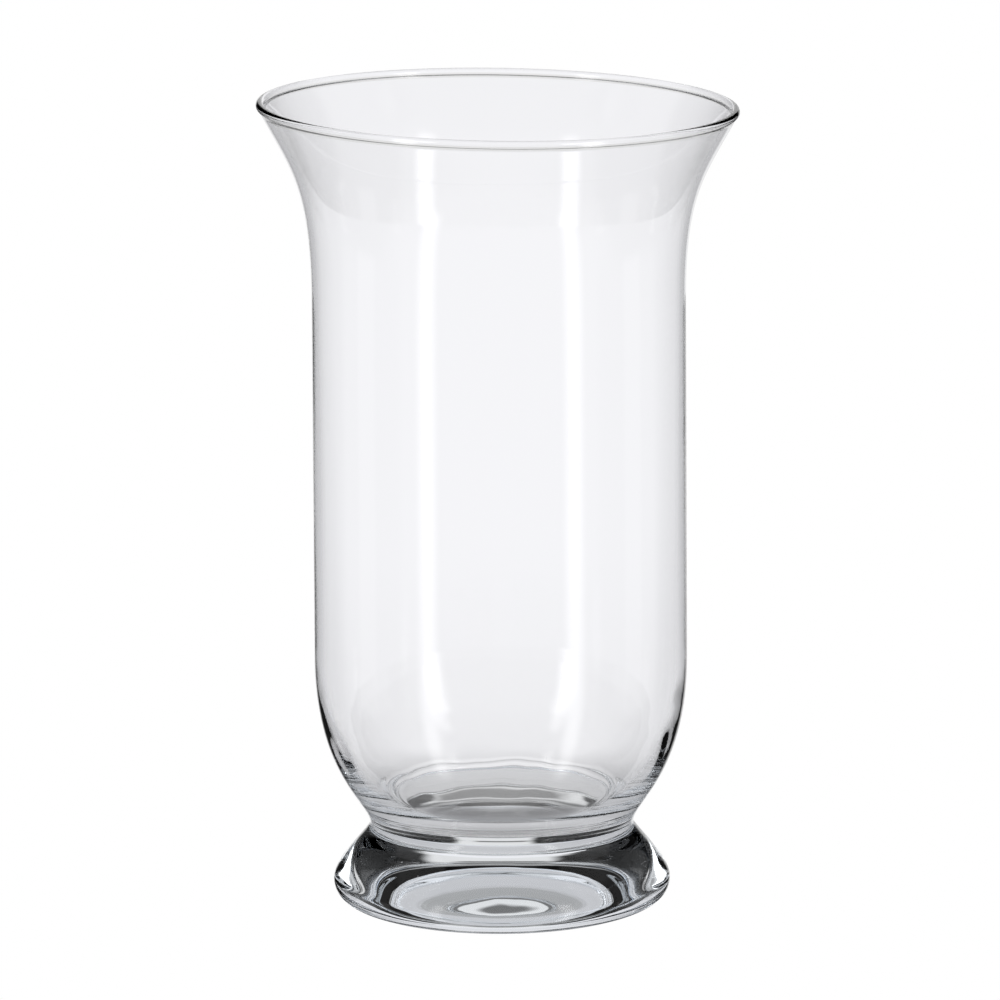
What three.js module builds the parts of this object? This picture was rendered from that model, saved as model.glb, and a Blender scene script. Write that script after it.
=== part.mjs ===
// A clear glass vase with a flared mouth, standing on a solid round foot.
// It is two pieces of glass: a blown bowl, and a pressed foot fused to it hot.
// Millimetres, +Z up. The origin is the centre of the ring that the foot stands on.
import * as THREE from "three";

// Heights above the table
const VASE_HEIGHT = 280;
const FLARE_START_HEIGHT = 212.9;
const WALL_START_HEIGHT = 86.5;
const FLOOR_CORNER_HEIGHT = 36;
const FLOOR_HEIGHT = 33.6;
const FUSED_JOINT_HEIGHT = 27.2;
const FOOT_WIDEST_HEIGHT = 7.5;

// Outside radii
const MOUTH_RADIUS = 82.8;
const UPPER_BODY_RADIUS = 64.3;
const LOWER_BODY_RADIUS = 64.6;
const NECK_RADIUS = 45.8;
const FOOT_RADIUS = 58.6;

// The bowl's glass: a thin wall with a bead at the lip, thicker towards the base
const LIP_RADIUS = 1.45;
const UPPER_WALL = 2.0;
const LOWER_WALL = 3.0;
const FLOOR_RADIUS = 35.5;
const FLOOR_CORNER_RADIUS = 40.5;

// The foot's underside: a flat ring round a shallow hollow
const RING_OUTER_RADIUS = 47.4;
const RING_INNER_RADIUS = 39.9;
const HOLLOW_DEPTH = 6.5;

// How far each curve of the bowl keeps its first direction: the handles of its beziers
const NECK_RUN = 9.2;
const OUTER_SHOULDER_RUN = 42.3;
const INNER_SHOULDER_RUN = 32;
const FLARE_RUN = 38.4;
const MOUTH_RUN = 21.7;
const MOUTH_LEAN = THREE.MathUtils.degToRad(62.8);
const CORNER_RUN = new THREE.Vector2(6.4, 3.8);
const CORNER_RUN_IN = new THREE.Vector2(2.5, 1.5);
const FLOOR_RUN = 3;

// The same for the foot
const HOLLOW_CROWN_RUN = 13.2;
const HOLLOW_EDGE_RUN = new THREE.Vector2(3.7, 3.1);
const RING_RUN = 3.3;
const LOWER_EDGE_RUN = 7.2;
const UPPER_EDGE_RUN = 5.7;
const FOOT_NECK_RUN = 2.5;

// Clearance between the two fused pieces, so that each stays a solid of its own
const JOINT_GAP = 0.3;

const TURN_SEGMENTS = 64;
const CURVE_STEPS = 10;
const LIP_STEPS = 8;
const CORNER_STEPS = 3;

const clearGlass = new THREE.MeshStandardMaterial({
  color: 0xeef3f3,
  roughness: 0.02,
  metalness: 0,
  transparent: true,
  opacity: 0.35,
});

// Turns a closed half-section (x is the radius, y the height) about the Z axis.
function turnedMesh(name, section) {
  const geometry = new THREE.LatheGeometry(section, TURN_SEGMENTS);
  geometry.rotateX(Math.PI / 2);
  const mesh = new THREE.Mesh(geometry, clearGlass.clone());
  mesh.name = name;
  return mesh;
}

function bezier(start, startHandle, endHandle, end) {
  const corners = [start, startHandle, endHandle, end];
  return new THREE.CubicBezierCurve(...corners.map(([r, z]) => new THREE.Vector2(r, z)));
}

// The points of one stretch of a section, with its first point left to the stretch before it.
function stretch(curve, steps) {
  return curve.getPoints(steps).slice(1);
}

// The bowl: solid base, round shoulder, nearly straight wall, flared mouth with a round lip.
function bowlSection() {
  const base = FUSED_JOINT_HEIGHT + JOINT_GAP / 2;
  const upperInside = UPPER_BODY_RADIUS - UPPER_WALL;
  const lowerInside = LOWER_BODY_RADIUS - LOWER_WALL;

  // The bead of the lip runs all round except where the wall joins it.
  const wallHalfTurn = Math.asin(UPPER_WALL / 2 / LIP_RADIUS);
  const lip = new THREE.EllipseCurve(
    MOUTH_RADIUS - LIP_RADIUS,
    VASE_HEIGHT - LIP_RADIUS,
    LIP_RADIUS,
    LIP_RADIUS,
    MOUTH_LEAN - Math.PI + wallHalfTurn,
    MOUTH_LEAN + Math.PI - wallHalfTurn,
  );
  const lipOuter = lip.getPoint(0);
  const lipInner = lip.getPoint(1);
  const mouthRun = new THREE.Vector2(Math.cos(MOUTH_LEAN), Math.sin(MOUTH_LEAN)).multiplyScalar(MOUTH_RUN);

  const outerShoulder = bezier(
    [NECK_RADIUS, base],
    [NECK_RADIUS, base + NECK_RUN],
    [LOWER_BODY_RADIUS, WALL_START_HEIGHT - OUTER_SHOULDER_RUN],
    [LOWER_BODY_RADIUS, WALL_START_HEIGHT],
  );
  const outerFlare = bezier(
    [UPPER_BODY_RADIUS, FLARE_START_HEIGHT],
    [UPPER_BODY_RADIUS, FLARE_START_HEIGHT + FLARE_RUN],
    lipOuter.clone().sub(mouthRun).toArray(),
    lipOuter.toArray(),
  );
  const innerFlare = bezier(
    lipInner.toArray(),
    lipInner.clone().sub(mouthRun).toArray(),
    [upperInside, FLARE_START_HEIGHT + FLARE_RUN],
    [upperInside, FLARE_START_HEIGHT],
  );
  const innerShoulder = bezier(
    [lowerInside, WALL_START_HEIGHT],
    [lowerInside, WALL_START_HEIGHT - INNER_SHOULDER_RUN],
    [FLOOR_CORNER_RADIUS + CORNER_RUN.x, FLOOR_CORNER_HEIGHT + CORNER_RUN.y],
    [FLOOR_CORNER_RADIUS, FLOOR_CORNER_HEIGHT],
  );
  const floorCorner = bezier(
    [FLOOR_CORNER_RADIUS, FLOOR_CORNER_HEIGHT],
    [FLOOR_CORNER_RADIUS - CORNER_RUN_IN.x, FLOOR_CORNER_HEIGHT - CORNER_RUN_IN.y],
    [FLOOR_RADIUS + FLOOR_RUN, FLOOR_HEIGHT],
    [FLOOR_RADIUS, FLOOR_HEIGHT],
  );
  return [
    new THREE.Vector2(0, base),
    new THREE.Vector2(NECK_RADIUS, base),
    ...stretch(outerShoulder, CURVE_STEPS),
    new THREE.Vector2(UPPER_BODY_RADIUS, FLARE_START_HEIGHT),
    ...stretch(outerFlare, CURVE_STEPS),
    ...stretch(lip, LIP_STEPS),
    ...stretch(innerFlare, CURVE_STEPS),
    new THREE.Vector2(lowerInside, WALL_START_HEIGHT),
    ...stretch(innerShoulder, CURVE_STEPS),
    ...stretch(floorCorner, CORNER_STEPS),
    new THREE.Vector2(0, FLOOR_HEIGHT),
  ];
}

// The foot: a solid disc with a round edge, a concave top up to the joint, and a hollow underside.
function footSection() {
  const top = FUSED_JOINT_HEIGHT - JOINT_GAP / 2;
  const hollow = bezier(
    [0, HOLLOW_DEPTH],
    [HOLLOW_CROWN_RUN, HOLLOW_DEPTH],
    [RING_INNER_RADIUS - HOLLOW_EDGE_RUN.x, HOLLOW_EDGE_RUN.y],
    [RING_INNER_RADIUS, 0],
  );
  const lowerEdge = bezier(
    [RING_OUTER_RADIUS, 0],
    [RING_OUTER_RADIUS + RING_RUN, 0],
    [FOOT_RADIUS, FOOT_WIDEST_HEIGHT - LOWER_EDGE_RUN],
    [FOOT_RADIUS, FOOT_WIDEST_HEIGHT],
  );
  const upperSlope = bezier(
    [FOOT_RADIUS, FOOT_WIDEST_HEIGHT],
    [FOOT_RADIUS, FOOT_WIDEST_HEIGHT + UPPER_EDGE_RUN],
    [NECK_RADIUS, top - FOOT_NECK_RUN],
    [NECK_RADIUS, top],
  );
  return [
    new THREE.Vector2(0, HOLLOW_DEPTH),
    ...stretch(hollow, CURVE_STEPS),
    new THREE.Vector2(RING_OUTER_RADIUS, 0),
    ...stretch(lowerEdge, CURVE_STEPS),
    ...stretch(upperSlope, CURVE_STEPS),
    new THREE.Vector2(0, top),
  ];
}

const vase = new THREE.Group();
vase.name = "footed_glass_vase";
vase.add(turnedMesh("bowl", bowlSection()));
vase.add(turnedMesh("foot", footSection()));

export default vase;
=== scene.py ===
import math

import bpy
from mathutils import Matrix, Vector, noise


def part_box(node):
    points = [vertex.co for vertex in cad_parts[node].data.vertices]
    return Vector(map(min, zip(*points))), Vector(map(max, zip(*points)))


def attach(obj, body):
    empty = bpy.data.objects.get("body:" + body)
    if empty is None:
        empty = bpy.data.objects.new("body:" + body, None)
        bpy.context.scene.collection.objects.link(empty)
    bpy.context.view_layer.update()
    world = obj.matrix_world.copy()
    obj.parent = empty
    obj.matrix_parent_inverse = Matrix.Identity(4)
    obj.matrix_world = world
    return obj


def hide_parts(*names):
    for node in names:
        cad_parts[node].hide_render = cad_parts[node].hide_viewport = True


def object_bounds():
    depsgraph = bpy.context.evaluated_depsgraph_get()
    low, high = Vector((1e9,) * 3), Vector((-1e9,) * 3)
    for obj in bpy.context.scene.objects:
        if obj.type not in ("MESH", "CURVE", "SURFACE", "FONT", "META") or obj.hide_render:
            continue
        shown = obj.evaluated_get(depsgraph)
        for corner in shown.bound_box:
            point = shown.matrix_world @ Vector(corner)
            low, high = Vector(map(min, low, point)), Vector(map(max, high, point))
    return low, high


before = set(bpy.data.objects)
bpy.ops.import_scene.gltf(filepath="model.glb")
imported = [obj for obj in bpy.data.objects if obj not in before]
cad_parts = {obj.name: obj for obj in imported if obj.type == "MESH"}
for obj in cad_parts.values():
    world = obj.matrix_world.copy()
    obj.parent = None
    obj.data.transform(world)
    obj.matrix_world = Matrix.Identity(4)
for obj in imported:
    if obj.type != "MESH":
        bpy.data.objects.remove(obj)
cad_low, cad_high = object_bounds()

scene = bpy.context.scene


# ---- The camera ------------------------------------------------------------
# A long lens that stands well back and looks a little down into the mouth.
# Light goes through many surfaces of clear glass, so it is let bounce often.

camera_distance = 2.6146
camera_height = 0.6848
camera_pitch = math.radians(11.74)
camera_roll = math.radians(-0.32)

lens = bpy.data.cameras.new("studio_camera")
lens.lens = 278.2
lens.sensor_width = 36
camera = bpy.data.objects.new("studio_camera", lens)
scene.collection.objects.link(camera)
camera.matrix_world = (
    Matrix.Translation((0, -camera_distance, camera_height))
    @ Matrix.Rotation(math.pi / 2 - camera_pitch, 4, "X")
    @ Matrix.Rotation(camera_roll, 4, "Z")
)
scene.camera = camera
scene.view_settings.view_transform = "Standard"
scene.cycles.max_bounces = 32
scene.cycles.transmission_bounces = 32
scene.cycles.glossy_bounces = 12
scene.cycles.transparent_max_bounces = 24


# ---- The studio ------------------------------------------------------------
# A white window of light behind the vase with a black card at each side of it, soft
# boxes overhead and at the sides, and two tall strip lights beside the camera. All
# of it is far away, so it is the world.


def node(tree, kind, links=None, **values):
    """Adds one node, sets its named inputs or properties, and links its inputs."""
    made = tree.nodes.new(kind)
    for name, value in values.items():
        if name.replace("_", " ") in made.inputs:
            made.inputs[name.replace("_", " ")].default_value = value
        else:
            setattr(made, name, value)
    for socket, source in (links or {}).items():
        tree.links.new(source, made.inputs[socket])
    return made


def maths(tree, operation, first, second=0.0, third=0.0):
    """One Math node. Each value is a number or another node's output."""
    made = node(tree, "ShaderNodeMath", operation=operation)
    for place, value in enumerate((first, second, third)):
        if isinstance(value, bpy.types.NodeSocket):
            tree.links.new(value, made.inputs[place])
        else:
            made.inputs[place].default_value = value
    return made.outputs[0]


def ramp(tree, value, low, high):
    """A smooth rise from 0 at low to 1 at high, or a fall when low is above high."""
    made = node(tree, "ShaderNodeMapRange", {"Value": value}, interpolation_type="SMOOTHSTEP")
    made.inputs["From Min"].default_value = low
    made.inputs["From Max"].default_value = high
    return made.outputs["Result"]


def sine(degrees):
    """The height, from -1 to 1, of a direction so many degrees above the horizon."""
    return math.sin(math.radians(max(min(degrees, 90), -90)))


def sector_mask(tree, aim, turn, half_width, soft):
    """How far inside a sector about the vase a direction lies, from 0 to 1. Angles are in degrees."""
    centre = math.radians(turn)
    along = maths(tree, "MULTIPLY", aim["x"], math.sin(centre))
    along = maths(tree, "MULTIPLY_ADD", aim["y"], math.cos(centre), along)
    apart = maths(tree, "ARCCOSINE", maths(tree, "DIVIDE", along, aim["level"]))
    edge, blur = math.radians(half_width), math.radians(soft)
    return ramp(tree, apart, edge + blur, edge - blur)


def panel_mask(tree, aim, turn, half_width, low, high, soft):
    """Where one upright panel is seen, from 0 to 1. Angles are in degrees."""
    across = sector_mask(tree, aim, turn, half_width, soft)
    bottom = ramp(tree, aim["z"], sine(low - soft), sine(low + soft))
    top = ramp(tree, aim["z"], sine(high + soft), sine(high - soft))
    return maths(tree, "MULTIPLY", across, maths(tree, "MULTIPLY", bottom, top))


# Later panels stand in front of earlier ones. Angles are in degrees: turn goes round from
# straight behind the vase, positive to the right, and low and high are above the horizon.
panels = [
    dict(turn=-92, half_width=24, low=-20, high=38, soft=5.0, light=0.5),
    dict(turn=92, half_width=24, low=-20, high=38, soft=5.0, light=0.5),
    dict(turn=-90, half_width=7, low=-20, high=8, soft=2.0, light=0.95),
    dict(turn=90, half_width=7, low=-20, high=8, soft=2.0, light=0.95),
    dict(turn=2, half_width=14, low=-20, high=36, soft=3.0, light=1.0),
    dict(turn=0, half_width=8, low=18, high=33, soft=2.0, light=0.2),
    dict(turn=-33.5, half_width=24.5, low=3, high=31, soft=2.0, light=0.0),
    dict(turn=23, half_width=9.5, low=3, high=27, soft=2.0, light=0.0),
    dict(turn=0, half_width=50, low=40, high=86, soft=5.0, light=0.5),
    dict(turn=-91, half_width=22, low=38, high=66, soft=3.0, light=0.65),
    dict(turn=91, half_width=22, low=38, high=66, soft=3.0, light=0.65),
    dict(turn=-134.5, half_width=5.0, low=-46, high=35, soft=4.0, light=4.5),
    dict(turn=133.5, half_width=5.0, low=-46, high=35, soft=4.0, light=4.5),
]

studio = bpy.data.worlds.new("studio")
scene.world = studio
studio.use_nodes = True
sky = studio.node_tree
sky.nodes.clear()
direction = node(sky, "ShaderNodeTexCoord").outputs["Generated"]
parts = node(sky, "ShaderNodeSeparateXYZ", {"Vector": direction})
aim = {"x": parts.outputs["X"], "y": parts.outputs["Y"], "z": parts.outputs["Z"]}
level = maths(sky, "SQRT", maths(sky, "SUBTRACT", 1.0, maths(sky, "MULTIPLY", aim["z"], aim["z"])))
aim["level"] = maths(sky, "MAXIMUM", level, 0.0001)
# The room is dark behind and at the sides, and pale on the camera's side, most so low down.
room_light, front_light, low_front_light = 0.03, 0.46, 0.42
front = maths(sky, "MULTIPLY_ADD", ramp(sky, aim["z"], 0.7, 0.45), low_front_light, front_light)
light = maths(sky, "MULTIPLY_ADD", ramp(sky, aim["y"], -0.1, -0.5), front, room_light)
for panel in panels:
    shape = {name: panel[name] for name in ("turn", "half_width", "low", "high", "soft")}
    mask = panel_mask(sky, aim, **shape)
    light = maths(sky, "MULTIPLY_ADD", maths(sky, "SUBTRACT", panel["light"], light), mask, light)
looked_at = node(sky, "ShaderNodeLightPath").outputs["Is Camera Ray"]
light = maths(sky, "MULTIPLY_ADD", maths(sky, "SUBTRACT", 1.0, light), looked_at, light)
glow = node(sky, "ShaderNodeBackground", {"Strength": light})
node(sky, "ShaderNodeOutputWorld", {"Surface": glow.outputs[0]})


# ---- The table -------------------------------------------------------------
# A wide sheet of white acrylic, lit from below, with the vase's shadow painted into its glow so that it is
# dimmer close round the vase. It lies just under the foot's resting ring, and mirror reflections leave it
# out.

table_reach = 7.0
table_sides = 64

table_mesh = bpy.data.meshes.new("table")
rim = [2 * math.pi * side / table_sides for side in range(table_sides)]
table_mesh.from_pydata(
    [(table_reach * math.cos(turn), table_reach * math.sin(turn), 0) for turn in rim],
    [],
    [tuple(range(table_sides))],
)
table = bpy.data.objects.new("table", table_mesh)
scene.collection.objects.link(table)
table_gap = 0.0002
table.location.z = cad_low.z - table_gap
table.visible_glossy = False
acrylic = bpy.data.materials.new("white_acrylic")
acrylic.use_nodes = True
tree = acrylic.node_tree
tree.nodes.clear()
place = node(tree, "ShaderNodeNewGeometry").outputs["Position"]
reach = node(tree, "ShaderNodeVectorMath", {0: place}, operation="LENGTH").outputs["Value"]
spot = node(tree, "ShaderNodeSeparateXYZ", {"Vector": place})
# A painted shadow of the vase: the acrylic is dullest under it and rises in steps with the distance from
# its axis.
painted_shadow_middle_glow = 0.28
glow_rises_from_painted_shadow = ((0.025, 0.045, 0.32), (0.05, 0.16, 0.30), (0.16, 0.6, 0.05))
glow_with_painted_shade = painted_shadow_middle_glow
for start, end, rise in glow_rises_from_painted_shadow:
    glow_with_painted_shade = maths(tree, "MULTIPLY_ADD", ramp(tree, reach, start, end), rise, glow_with_painted_shade)
flat = {"x": spot.outputs["X"], "y": spot.outputs["Y"], "level": maths(tree, "MAXIMUM", reach, 0.001)}
# Painted shade from the black cards dims two sectors of it a little.
card_shade = 0.14
for turn, half_width in ((-30, 12), (27, 10)):
    sector = sector_mask(tree, flat, turn, half_width, soft=8.0)
    shade = maths(tree, "MULTIPLY", ramp(tree, reach, 0.15, 0.4), sector)
    kept = maths(tree, "MULTIPLY_ADD", shade, -card_shade, 1.0)
    glow_with_painted_shade = maths(tree, "MULTIPLY", glow_with_painted_shade, kept)
# The glow that all but camera rays see, with the painted shadow and the painted card shade in it.
lit_below_with_painted_shade = node(tree, "ShaderNodeEmission", {"Strength": glow_with_painted_shade}, Color=(0.975, 0.975, 1.0, 1))
pale = node(tree, "ShaderNodeEmission", Strength=1.0)
straight = node(tree, "ShaderNodeLightPath").outputs["Is Camera Ray"]
surface = node(tree, "ShaderNodeMixShader", {0: straight, 1: lit_below_with_painted_shade.outputs[0], 2: pale.outputs[0]})
node(tree, "ShaderNodeOutputMaterial", {"Surface": surface.outputs[0]})
table_mesh.materials.append(acrylic)


# ---- The foot --------------------------------------------------------------
# A heavy disc of clear glass, pressed in a mould and fire polished. Its top sweeps
# up to the neck, where the bowl is fused to it, and its underside is a shallow
# hollow in a flat resting ring.

foot_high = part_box("foot")[1]
bowl_low, bowl_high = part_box("bowl")
joint_height = (foot_high.z + bowl_low.z) / 2
joint_gap = 0.00002
foot_radius = foot_high.x
foot_widest = 0.0075
neck_radius = 0.0458
ring_outer = 0.0474
ring_inner = 0.0399
hollow_depth = 0.0065
sides = 288

# how far each round stretch keeps its first direction, at its lower and its upper end
hollow_crown_run = 0.013167
hollow_edge_run = (0.0037, 0.0031)
ring_run = 0.0033
lower_edge_run = 0.0072
upper_edge_run = 0.0057
foot_neck_run = 0.0025


def curve(start, start_handle, end_handle, end, steps):
    """Points (radius, height) along one round stretch of a section, after its first."""
    found = []
    for step in range(1, steps + 1):
        t = step / steps
        weights = ((1 - t) ** 3, 3 * t * (1 - t) ** 2, 3 * t * t * (1 - t), t**3)
        corners = (start, start_handle, end_handle, end)
        found.append(tuple(sum(w * c[axis] for w, c in zip(weights, corners)) for axis in (0, 1)))
    return found


def straight_run(start, end, steps):
    """Points (radius, height) along one straight stretch of a section, after its first."""
    return [
        (start[0] + (end[0] - start[0]) * step / steps, start[1] + (end[1] - start[1]) * step / steps)
        for step in range(1, steps + 1)
    ]


def turned(name, section, shift):
    """A closed piece turned about the vase's axis. shift moves each point off the true round."""
    rings = section[1:-1]
    points = []
    for ring, (radius, height) in enumerate(rings):
        for side in range(sides):
            turn = 2 * math.pi * side / sides
            points.append(shift(Vector((radius * math.cos(turn), radius * math.sin(turn), height)), ring))
    points.append(Vector((0, 0, section[0][1])))
    points.append(Vector((0, 0, section[-1][1])))
    faces = []
    for ring in range(len(rings) - 1):
        for side in range(sides):
            here, there = ring * sides, (ring + 1) * sides
            after = (side + 1) % sides
            faces.append((here + side, here + after, there + after, there + side))
    first_pole, last_pole, last_ring = len(points) - 2, len(points) - 1, (len(rings) - 1) * sides
    for side in range(sides):
        after = (side + 1) % sides
        faces.append((first_pole, after, side))
        faces.append((last_pole, last_ring + side, last_ring + after))
    mesh = bpy.data.meshes.new(name)
    mesh.from_pydata(points, [], faces)
    mesh.polygons.foreach_set("use_smooth", [True] * len(faces))
    piece = bpy.data.objects.new(name, mesh)
    scene.collection.objects.link(piece)
    return piece


foot_top = joint_height - joint_gap / 2
foot_section = [(0, hollow_depth)]
foot_section += curve(
    (0, hollow_depth),
    (hollow_crown_run, hollow_depth),
    (ring_inner - hollow_edge_run[0], hollow_edge_run[1]),
    (ring_inner, 0),
    48,
)
foot_section += straight_run((ring_inner, 0), (ring_outer, 0), 6)
foot_section += curve(
    (ring_outer, 0),
    (ring_outer + ring_run, 0),
    (foot_radius, foot_widest - lower_edge_run),
    (foot_radius, foot_widest),
    32,
)
foot_section += curve(
    (foot_radius, foot_widest),
    (foot_radius, foot_widest + upper_edge_run),
    (neck_radius, foot_top - foot_neck_run),
    (neck_radius, foot_top),
    40,
)
foot_section += straight_run((neck_radius, foot_top), (0, foot_top), 16)


def swell(point, size, seed):
    """A smooth random swell between -1 and 1, of the given size across."""
    return noise.noise(point / size + Vector((seed, seed * 1.7, seed * 2.3)))


def moved_out(point, amount):
    """The point, moved away from the vase's axis by amount."""
    radius = math.hypot(point.x, point.y)
    if radius < 1e-9:
        return point
    return Vector((point.x * (1 + amount / radius), point.y * (1 + amount / radius), point.z))


def eased(value, low, high):
    """A smooth rise from 0 at low to 1 at high."""
    share = min(max((value - low) / (high - low), 0), 1)
    return share * share * (3 - 2 * share)


def unevenness(point, swells):
    """The sum of several swells, each with a height, a size across and a seed."""
    return sum(height * swell(point, size, seed) for height, size, seed in swells)


foot_swells = ((0.00016, 0.018, 3), (0.00003, 0.008, 5))
fade = 0.004


def foot_shift(point, ring):
    """The swells that pressing and fire polishing leave, none where the foot rests or is fused."""
    free = eased(point.z, 0, fade) * eased(foot_top - point.z, 0, fade)
    return moved_out(point, free * unevenness(point, foot_swells))


foot = turned("foot_glass", foot_section, foot_shift)


def node_group(name, inputs, outputs):
    """A node group with named number inputs. Returns it with its input and output nodes."""
    made = bpy.data.node_groups.new(name, "ShaderNodeTree")
    for label, value in inputs.items():
        socket = made.interface.new_socket(label, in_out="INPUT", socket_type="NodeSocketFloat")
        socket.default_value = value
    for label, kind in outputs.items():
        made.interface.new_socket(label, in_out="OUTPUT", socket_type=kind)
    return made, made.nodes.new("NodeGroupInput").outputs, made.nodes.new("NodeGroupOutput").inputs


def scaled(tree, vector, scale):
    """The vector times a number, or times another vector."""
    made = node(tree, "ShaderNodeVectorMath", {0: vector}, operation="MULTIPLY")
    if isinstance(scale, bpy.types.NodeSocket):
        tree.links.new(scale, made.inputs[1])
    else:
        made.inputs[1].default_value = scale
    return made.outputs[0]


# Ripples left by the mould and the fire polish: broad swells, drawn out upwards by Draw.
ripples, given, results = node_group(
    "glass_ripples",
    {"Ripple Scale": 90.0, "Draw": 1.0, "Ripple Height": 0.00001},
    {"Height": "NodeSocketFloat"},
)
spot = node(ripples, "ShaderNodeTexCoord").outputs["Object"]
upright = maths(ripples, "DIVIDE", 1.0, given["Draw"])
squeeze = node(ripples, "ShaderNodeCombineXYZ", {"Z": upright}, X=1.0, Y=1.0).outputs[0]
drawn = scaled(ripples, spot, squeeze)
broad = node(ripples, "ShaderNodeTexNoise", {"Vector": drawn, "Scale": given["Ripple Scale"]}, Detail=0.0)
finer_scale = maths(ripples, "MULTIPLY", given["Ripple Scale"], 3.1)
finer = node(ripples, "ShaderNodeTexNoise", {"Vector": drawn, "Scale": finer_scale}, Detail=0.0)
both = maths(ripples, "MULTIPLY_ADD", finer.outputs["Fac"], 0.15, broad.outputs["Fac"])
ripples.links.new(maths(ripples, "MULTIPLY", both, given["Ripple Height"]), results["Height"])

# Seeds, which are small bubbles just under the surface, and specks of dust.
seeds, given, results = node_group(
    "glass_seeds",
    {"Seed Scale": 120.0, "Seed Share": 0.05, "Seed Radius": 0.03},
    {"Mask": "NodeSocketFloat"},
)
spot = node(seeds, "ShaderNodeTexCoord").outputs["Object"]
cells = node(seeds, "ShaderNodeTexVoronoi", {"Vector": spot, "Scale": given["Seed Scale"]})
chance = node(seeds, "ShaderNodeSeparateColor", {"Color": cells.outputs["Color"]})
chosen = maths(seeds, "LESS_THAN", chance.outputs["Red"], given["Seed Share"])
radius = maths(seeds, "MULTIPLY", given["Seed Radius"], maths(seeds, "ADD", chance.outputs["Green"], 0.4))
dot = maths(seeds, "SUBTRACT", 1.0, maths(seeds, "DIVIDE", cells.outputs["Distance"], radius))
dot = maths(seeds, "MAXIMUM", dot, 0.0)
seeds.links.new(maths(seeds, "MULTIPLY", dot, chosen), results["Mask"])

# Hairline scratches from handling, and from standing on a table: worn most below Wear Height.
scratches, given, results = node_group(
    "glass_scratches",
    {"Scratch Scale": 60.0, "Wear Height": 0.004, "Elsewhere": 0.15},
    {"Mask": "NodeSocketFloat"},
)
spot = node(scratches, "ShaderNodeTexCoord").outputs["Object"]
lines = None
for tilt in (0.5, 1.9):
    turns = (tilt * 0.7, tilt, tilt * 1.3)
    turned_spot = node(scratches, "ShaderNodeMapping", {"Vector": spot}, Rotation=turns)
    thin = scaled(scratches, turned_spot.outputs[0], (1.0, 0.06, 1.0))
    links = {"Vector": thin, "Scale": given["Scratch Scale"]}
    streak = node(scratches, "ShaderNodeTexNoise", links, Detail=2.0)
    hairs = maths(scratches, "ABSOLUTE", maths(scratches, "SUBTRACT", streak.outputs["Fac"], 0.5))
    hairs = ramp(scratches, hairs, 0.006, 0.0)
    lines = hairs if lines is None else maths(scratches, "MAXIMUM", lines, hairs)
height = node(scratches, "ShaderNodeSeparateXYZ", {"Vector": spot}).outputs["Z"]
above = maths(scratches, "DIVIDE", height, given["Wear Height"])
worn = maths(scratches, "MAXIMUM", ramp(scratches, above, 1.0, 0.0), given["Elsewhere"])
patches = node(scratches, "ShaderNodeTexNoise", {"Vector": spot}, Scale=35.0, Detail=1.0).outputs["Fac"]
worn = maths(scratches, "MULTIPLY", worn, ramp(scratches, patches, 0.48, 0.62))
scratches.links.new(maths(scratches, "MULTIPLY", lines, worn), results["Mask"])

# The dull film that fingers and washing leave, in soft patches.
film, given, results = node_group(
    "glass_film",
    {"Film Scale": 22.0, "Film Amount": 0.03},
    {"Roughness": "NodeSocketFloat"},
)
spot = node(film, "ShaderNodeTexCoord").outputs["Object"]
cloud = node(film, "ShaderNodeTexNoise", {"Vector": spot, "Scale": given["Film Scale"]}, Detail=2.0)
patchy = ramp(film, cloud.outputs["Fac"], 0.5, 0.75)
film.links.new(maths(film, "MULTIPLY", patchy, given["Film Amount"]), results["Roughness"])


def placed(tree, group, **values):
    """One use of a node group, with its own values."""
    made = node(tree, "ShaderNodeGroup", node_tree=group)
    for name, value in values.items():
        made.inputs[name.replace("_", " ")].default_value = value
    return made.outputs[0]


# How far a seed stands out and how grey it looks, and how rough a scratch is
seed_rise = 0.00012
seed_grey = 0.5
scratch_roughness = 0.18


def clear_glass(name, tint, density, ripple, seed, scratch, dull):
    """Clear soda-lime glass. tint is the colour that thick glass takes, and density how soon it does."""
    material = bpy.data.materials.new(name)
    material.use_nodes = True
    tree = material.node_tree
    tree.nodes.clear()
    swells = placed(tree, ripples, **ripple)
    bubbles = placed(tree, seeds, **seed)
    hairlines = placed(tree, scratches, **scratch)
    haze = placed(tree, film, **dull)
    height = maths(tree, "MULTIPLY_ADD", bubbles, seed_rise, swells)
    bump = node(tree, "ShaderNodeBump", {"Height": height}, Strength=1.0, Distance=1.0)
    roughness = maths(tree, "MULTIPLY_ADD", hairlines, scratch_roughness, haze)
    colour = node(tree, "ShaderNodeMix", data_type="RGBA", blend_type="MIX")
    tree.links.new(maths(tree, "MULTIPLY", bubbles, seed_grey), colour.inputs["Factor"])
    colour.inputs[6].default_value = (1, 1, 1, 1)
    colour.inputs[7].default_value = (0.62, 0.66, 0.68, 1)
    glass = node(
        tree,
        "ShaderNodeBsdfPrincipled",
        {"Base Color": colour.outputs[2], "Roughness": roughness, "Normal": bump.outputs[0]},
        IOR=1.48,
    )
    glass.inputs["Transmission Weight"].default_value = 1.0
    inside = node(tree, "ShaderNodeVolumeAbsorption", Color=tint, Density=density)
    links = {"Surface": glass.outputs[0], "Volume": inside.outputs[0]}
    node(tree, "ShaderNodeOutputMaterial", links)
    return material


def fused_face(name):
    """Where the two pieces are fused there is no surface, so light goes straight on."""
    material = bpy.data.materials.new(name)
    material.use_nodes = True
    tree = material.node_tree
    tree.nodes.clear()
    clear = node(tree, "ShaderNodeBsdfTransparent")
    node(tree, "ShaderNodeOutputMaterial", {"Surface": clear.outputs[0]})
    return material


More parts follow.
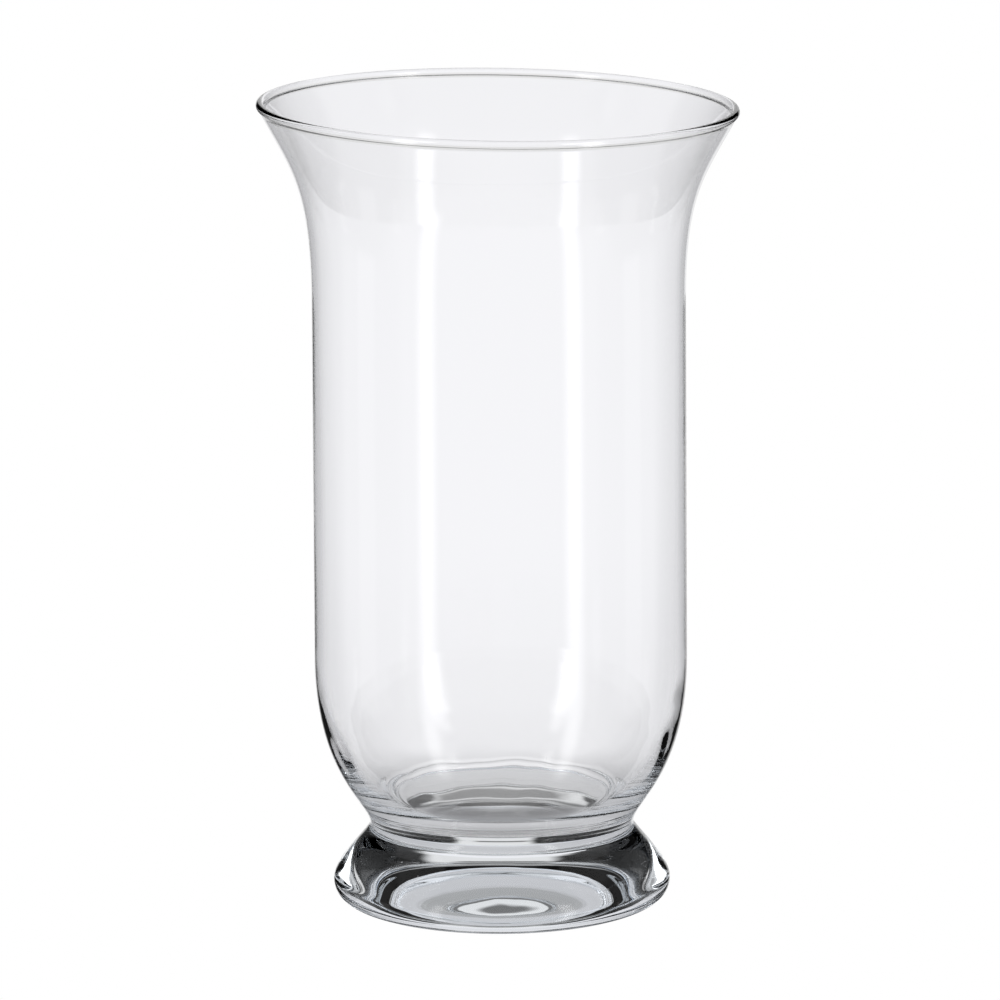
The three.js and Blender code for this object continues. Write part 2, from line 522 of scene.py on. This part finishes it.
def finish_glass(piece, material, joint_at):
    """Gives the piece its glass, and its fused face no surface."""
    piece.data.materials.append(material)
    piece.data.materials.append(fused_face(piece.name + "_fused_face"))
    for face in piece.data.polygons:
        on_joint = all(abs(piece.data.vertices[corner].co.z - joint_at) < 1e-6 for corner in face.vertices)
        face.material_index = 1 if on_joint else 0
        if on_joint:
            face.use_smooth = False


foot_glass = clear_glass(
    "pressed_glass",
    tint=(0.83, 0.90, 0.97, 1),
    density=3.0,
    ripple={"Ripple_Scale": 110.0, "Draw": 1.0, "Ripple_Height": 0.00003},
    seed={"Seed_Scale": 170.0, "Seed_Share": 0.05, "Seed_Radius": 0.05},
    scratch={"Scratch_Scale": 55.0, "Wear_Height": 0.004, "Elsewhere": 0.1},
    dull={"Film_Scale": 40.0, "Film_Amount": 0.02},
)
finish_glass(foot, foot_glass, foot_top)
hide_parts("foot")
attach(foot, "root")


# ---- The bowl --------------------------------------------------------------
# One gather of clear glass blown in a mould: a thick base, a round shoulder, a
# nearly straight wall, and a mouth flared and fire polished to a round lip. Its
# base is fused hot to the foot.

bowl_base = joint_height + joint_gap / 2
lower_radius = 0.0646
upper_radius = 0.0643
mouth_radius = bowl_high.x
vase_height = bowl_high.z
wall_start = 0.0865
flare_start = 0.2129
lip_radius = 0.00145
upper_wall = 0.0020
lower_wall = 0.0030
mouth_lean = math.radians(62.8)
upper_inside = upper_radius - upper_wall
lower_inside = lower_radius - lower_wall
floor_height = 0.0336
floor_radius = 0.0355
floor_corner = 0.0405
corner_rise = 0.0024

# how far each round stretch keeps its first direction
neck_run = 0.0092
outer_shoulder_run = 0.0423
inner_shoulder_run = 0.0320
flare_run = 0.0384
mouth_run = 0.0217
corner_run_out = (0.0064, 0.0038)
corner_run_in = (0.0025, 0.0015)
floor_run = 0.0030

lip_centre = (mouth_radius - lip_radius, vase_height - lip_radius)
opening = math.asin(upper_wall / 2 / lip_radius)
lip_start = mouth_lean - math.pi + opening
lip_turn = 2 * math.pi - 2 * opening
lip_steps = 28
lip_angles = [lip_start + lip_turn * step / lip_steps for step in range(lip_steps + 1)]
lip = [
    (lip_centre[0] + lip_radius * math.cos(angle), lip_centre[1] + lip_radius * math.sin(angle))
    for angle in lip_angles
]
along_mouth = (mouth_run * math.cos(mouth_lean), mouth_run * math.sin(mouth_lean))
outer_handle = (lip[0][0] - along_mouth[0], lip[0][1] - along_mouth[1])
inner_handle = (lip[-1][0] - along_mouth[0], lip[-1][1] - along_mouth[1])
flare_handle = flare_start + flare_run
corner_height = floor_height + corner_rise

bowl_section = [(0, bowl_base)]
bowl_section += straight_run((0, bowl_base), (neck_radius, bowl_base), 16)
bowl_section += curve(
    (neck_radius, bowl_base),
    (neck_radius, bowl_base + neck_run),
    (lower_radius, wall_start - outer_shoulder_run),
    (lower_radius, wall_start),
    64,
)
bowl_section += straight_run((lower_radius, wall_start), (upper_radius, flare_start), 24)
bowl_section += curve((upper_radius, flare_start), (upper_radius, flare_handle), outer_handle, lip[0], 48)
outer_rings = len(bowl_section)
bowl_section += lip[1:]
bowl_section += curve(lip[-1], inner_handle, (upper_inside, flare_handle), (upper_inside, flare_start), 48)
bowl_section += straight_run((upper_inside, flare_start), (lower_inside, wall_start), 24)
bowl_section += curve(
    (lower_inside, wall_start),
    (lower_inside, wall_start - inner_shoulder_run),
    (floor_corner + corner_run_out[0], corner_height + corner_run_out[1]),
    (floor_corner, corner_height),
    64,
)
bowl_section += curve(
    (floor_corner, corner_height),
    (floor_corner - corner_run_in[0], corner_height - corner_run_in[1]),
    (floor_radius + floor_run, floor_height),
    (floor_radius, floor_height),
    40,
)
bowl_section += straight_run((floor_radius, floor_height), (0, floor_height), 16)


# The floor meets the wall in two narrow furrows, each a radius and a depth.
furrows = ((0.0385, 0.0008), (0.0410, 0.0006))
furrow_width = 0.0006
furrow_top = 0.042

wall_swell, thick_glass_swell = 0.00001, 0.00002
shoulder_swells = ((0.00012, 0.010, 7), (0.00003, 0.006, 11))
mouth_slope = 0.0195
slope_start, slope_end = 0.205, 0.265


def bowl_shift(point, ring):
    """The uneven thickness that blowing leaves, most in the thick glass low down, and the mouth's slope."""
    low_down = 1 - eased(point.z, 0.045, 0.10)
    inside = ring >= outer_rings
    amount = (wall_swell + thick_glass_swell * low_down) * swell(point, 0.018, 7)
    if inside:
        shoulder = low_down * eased(point.z, 0.040, 0.054)
        amount += shoulder * unevenness(point, shoulder_swells)
    moved = moved_out(point, eased(point.z, bowl_base, bowl_base + fade) * amount)
    if inside and point.z < furrow_top:
        radius = math.hypot(point.x, point.y)
        for furrow_radius, depth in furrows:
            moved.z -= depth * math.exp(-(((radius - furrow_radius) / furrow_width) ** 2))
    moved.z -= mouth_slope * moved.x * eased(point.z, slope_start, slope_end)
    return moved


bowl = turned("bowl_glass", bowl_section, bowl_shift)
bowl_glass = clear_glass(
    "blown_glass",
    tint=(0.83, 0.90, 0.97, 1),
    density=3.0,
    ripple={"Ripple_Scale": 60.0, "Draw": 3.0, "Ripple_Height": 0.00002},
    seed={"Seed_Scale": 90.0, "Seed_Share": 0.03, "Seed_Radius": 0.03},
    scratch={"Scratch_Scale": 40.0, "Wear_Height": 0.004, "Elsewhere": 0.1},
    dull={"Film_Scale": 18.0, "Film_Amount": 0.025},
)
finish_glass(bowl, bowl_glass, bowl_base)
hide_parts("bowl")
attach(bowl, "root")
